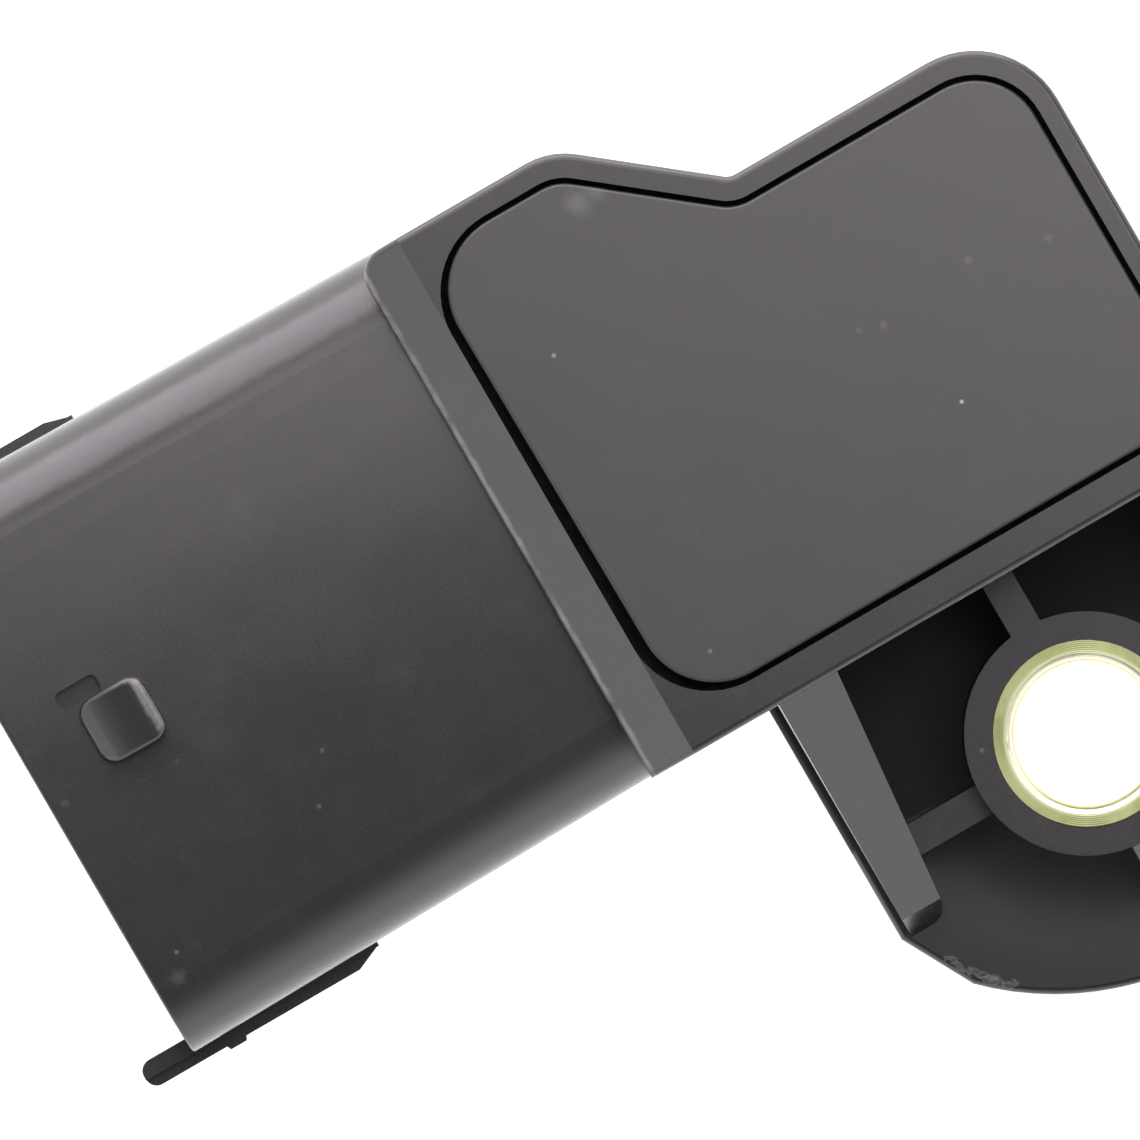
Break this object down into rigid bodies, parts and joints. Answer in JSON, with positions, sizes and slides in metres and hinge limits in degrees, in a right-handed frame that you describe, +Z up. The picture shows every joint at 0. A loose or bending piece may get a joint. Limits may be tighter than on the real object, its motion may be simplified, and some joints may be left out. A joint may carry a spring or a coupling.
{
  "type": "manifold absolute pressure sensor",
  "caption": "Moulded pressure sensor with lidded housing, plug shroud, brass-lined screw flange and sealed pressure port.",
  "frame": {"origin": "centre of the screw bushing's bore at the seat plane", "axes": "+Z up through the lid along the screw, +Y from the screw to the pressure port, the plug socket opens towards -X"},
  "size_m": [0.0574, 0.0471, 0.031],
  "materials": {
    "housing_plastic": "fine moulded texture, near black",
    "lid_plastic": "smooth moulding, near black",
    "lid_bond": "cured black adhesive",
    "bushing_brass": "turned, dull",
    "seal_rubber": "smooth rubber",
    "tinned_bronze": "tin plated, satin",
    "circuit_ceramic": "fired alumina",
    "silicone_bond": "cured silicone",
    "pedestal_glass": "ground sides",
    "silicon": "polished wafer",
    "capacitor_ceramic": "fired ceramic",
    "resistor_ceramic": "glazed",
    "aluminium_wire": "drawn wire",
    "silicone_gel": "clear soft gel"
  },
  "bodies": {
    "root": {"housing": "housing_plastic", "lid": "lid_plastic", "lid_adhesive": "lid_bond", "screw_bushing": "bushing_brass", "port_seal_ring": "seal_rubber", "ground_terminal": "tinned_bronze", "signal_terminal": "tinned_bronze", "supply_terminal": "tinned_bronze", "circuit_substrate": "circuit_ceramic", "substrate_adhesive": "silicone_bond", "glass_pedestal": "pedestal_glass", "pressure_chip": "silicon", "reference_cap": "silicon", "signal_chip": "silicon", "supply_capacitor": "capacitor_ceramic", "signal_capacitor": "capacitor_ceramic", "input_capacitor": "capacitor_ceramic", "load_resistor": "resistor_ceramic", "ground_bond_wire": "aluminium_wire", "signal_bond_wire": "aluminium_wire", "supply_bond_wire": "aluminium_wire", "chip_bond_wires": "aluminium_wire", "protective_gel": "silicone_gel"}
  },
  "joints": []
}
